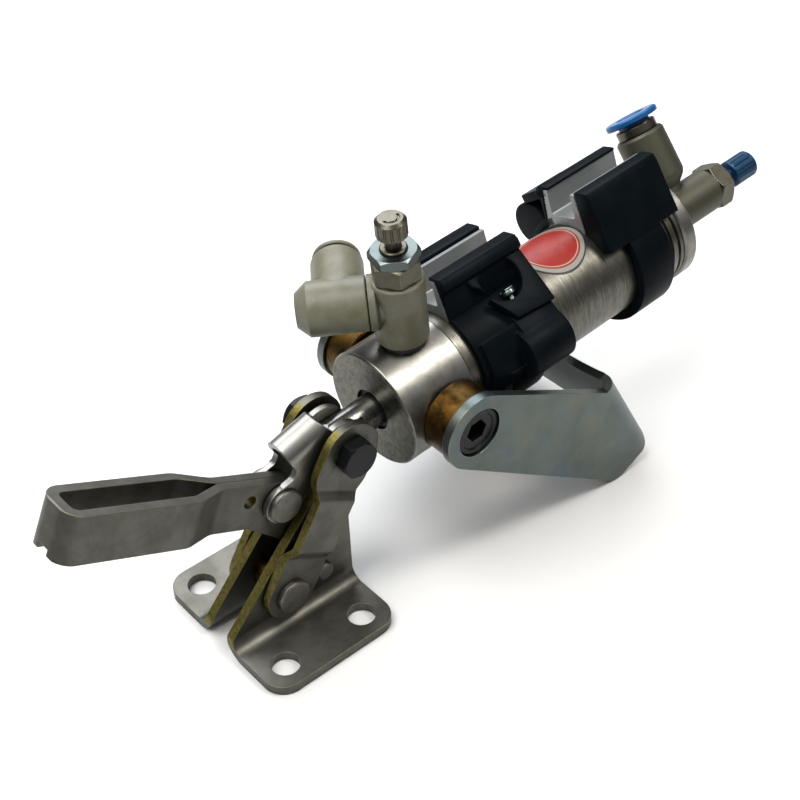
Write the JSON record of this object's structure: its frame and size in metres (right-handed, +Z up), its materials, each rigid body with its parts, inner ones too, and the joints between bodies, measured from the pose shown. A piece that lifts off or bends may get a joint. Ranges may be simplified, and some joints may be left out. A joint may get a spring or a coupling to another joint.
{
  "type": "pneumatic toggle clamp",
  "caption": "Air-operated toggle clamp: a trunnion cylinder pushes a folding linkage that swings a slotted clamping arm down onto the work.",
  "frame": {"origin": "centre of the base's bolt pattern, on the underside of the flanges", "axes": "+X towards the rear of the cylinder, +Y to the left of the clamp, +Z up from the base"},
  "size_m": [0.2558, 0.0567, 0.1096],
  "materials": {
    "zinc_steel_dark": "dark zinc plated sheet with worn edges",
    "zinc_steel_blue": "blue zinc plated sheet",
    "polished_steel": "polished pressed steel",
    "black_oxide": "black oxide fastener",
    "bronze": "sintered bronze, brown with oil",
    "chrome_rod": "hard chromed rod",
    "aluminium_head": "turned, worn satin",
    "aluminium_barrel": "brushed round the tube",
    "aluminium_rail": "extruded and anodised",
    "nickel_brass": "nickel plated brass",
    "zinc_nut": "bright zinc plated nut",
    "cast_zinc": "die cast, matt grey",
    "pbt_white": "moulded, warm white grown grey",
    "pa_black": "moulded glass filled nylon",
    "pa_blue": "moulded blue",
    "rubber_black": "moulded rubber",
    "film_label": "printed film"
  },
  "bodies": {
    "root": {"base_plate_left": "zinc_steel_dark", "base_plate_right": "zinc_steel_dark", "link_pivot_rivet": "zinc_steel_dark", "arm_pivot_rivet": "zinc_steel_dark", "pivot_spacer_bush": "bronze"},
    "links": {"link_left": "zinc_steel_dark", "link_right": "zinc_steel_dark", "knee_bolt": "black_oxide", "knee_nut": "black_oxide", "knee_spacers": "zinc_steel_blue"},
    "arm": {"clamp_arm": "zinc_steel_dark", "arm_channel_rivet": "zinc_steel_dark"},
    "channel": {"toggle_channel": "polished_steel"},
    "rod": {"piston_rod": "chrome_rod", "piston": "aluminium_head", "piston_seals": "rubber_black", "piston_magnet": "rubber_black", "piston_nut": "zinc_nut"},
    "bracket": {"cylinder_bracket": "zinc_steel_blue"},
    "front_valve": {"front_valve_housing": "pbt_white"},
    "front_elbow_body": {"front_elbow": "pbt_white", "front_grip_ring": "zinc_nut"},
    "front_collar": {"front_release_collar": "pbt_white"},
    "front_knob": {"front_valve_knob": "nickel_brass"},
    "rear_valve": {"rear_valve_body": "cast_zinc", "rear_port_collar": "nickel_brass", "rear_grip_ring": "zinc_nut"},
    "rear_release": {"rear_release_ring": "pa_blue"},
    "rear_knob": {"rear_valve_knob": "pa_blue"},
    "cylinder": {"rod_seal": "rubber_black", "rod_bushing": "bronze", "head_cap": "aluminium_head", "barrel": "aluminium_barrel", "end_cap": "aluminium_head", "cap_seals": "rubber_black", "trunnion_bush_left": "bronze", "trunnion_bush_right": "bronze", "trunnion_screw_left": "black_oxide", "trunnion_screw_right": "black_oxide", "front_valve_gasket": "rubber_black", "front_valve_core": "nickel_brass", "front_valve_locknut": "zinc_nut", "rear_valve_seal": "rubber_black", "rear_valve_bolt": "nickel_brass", "rear_valve_ring": "zinc_nut", "barrel_label": "film_label", "front_sensor_rail": "aluminium_rail", "front_sensor_band": "pa_black", "front_sensor_clamp": "pa_black", "front_clamp_screw": "zinc_nut", "front_clamp_nut": "zinc_nut", "rear_sensor_rail": "aluminium_rail", "rear_sensor_band": "pa_black", "rear_sensor_clamp": "pa_black", "rear_clamp_screw": "zinc_nut", "rear_clamp_nut": "zinc_nut"}
  },
  "joints": [
    {"name": "toggle", "type": "hinge", "parent": "root", "child": "links", "pos_m": [-0.0021, 0, 0.0135], "axis": [0, -1, 0], "range_deg": [0, 40]},
    {"name": "arm_swing", "type": "hinge", "parent": "root", "child": "arm", "pos_m": [0.0105, 0, 0.0123], "axis": [0, -1, 0], "range_deg": [0, 27]},
    {"name": "channel_turn", "type": "hinge", "parent": "links", "child": "channel", "pos_m": [0.0208, 0, 0.0505], "axis": [0, -1, 0], "range_deg": [0, 20]},
    {"name": "rod_turn", "type": "hinge", "parent": "links", "child": "rod", "pos_m": [0.0208, 0, 0.0505], "axis": [0, -1, 0], "range_deg": [-44, 0]},
    {"name": "rod_stroke", "type": "slide", "parent": "rod", "child": "cylinder", "axis": [0.996, 0, 0.0889], "range_m": [0, 0.029]},
    {"name": "bracket_swing", "type": "hinge", "parent": "cylinder", "child": "bracket", "pos_m": [0.04929, 0, 0.05304], "axis": [0, -1, 0], "range_deg": [-50, 0]},
    {"name": "front_valve_swivel", "type": "hinge", "parent": "cylinder", "child": "front_valve", "pos_m": [0.04839, 0, 0.05296], "axis": [-0.0889, 0, 0.996], "range_deg": [-15, 120]},
    {"name": "front_elbow_swivel", "type": "hinge", "parent": "front_valve", "child": "front_elbow_body", "pos_m": [0.04568, 0, 0.08334], "axis": [0.7955, -0.6018, 0.071], "range_deg": [-10, 100]},
    {"name": "front_collar_press", "type": "slide", "parent": "front_elbow_body", "child": "front_collar", "axis": [-0.5994, -0.7986, -0.0535], "range_m": [0, 0.001], "stiffness_N_per_m": 800},
    {"name": "front_knob_turn", "type": "hinge", "parent": "cylinder", "child": "front_knob", "pos_m": [0.04839, 0, 0.05296], "axis": [-0.0889, 0, 0.996], "continuous": true},
    {"name": "rear_valve_swivel", "type": "hinge", "parent": "cylinder", "child": "rear_valve", "pos_m": [0.15776, 0, 0.06272], "axis": [0.996, 0, 0.0889], "continuous": true},
    {"name": "rear_release_press", "type": "slide", "parent": "rear_valve", "child": "rear_release", "axis": [0.07, -0.6157, -0.7849], "range_m": [0, 0.001], "stiffness_N_per_m": 800},
    {"name": "rear_knob_turn", "type": "hinge", "parent": "cylinder", "child": "rear_knob", "pos_m": [0.15776, 0, 0.06272], "axis": [0.996, 0, 0.0889], "continuous": true}
  ],
  "couplings": [
    {"joint": "arm_swing", "follows": "toggle", "ratio": 0.6638},
    {"joint": "channel_turn", "follows": "toggle", "ratio": 0.4971},
    {"joint": "rod_turn", "follows": "toggle", "ratio": -1.0875},
    {"joint": "rod_stroke", "follows": "toggle", "m_per_rad": 0.0413}
  ]
}
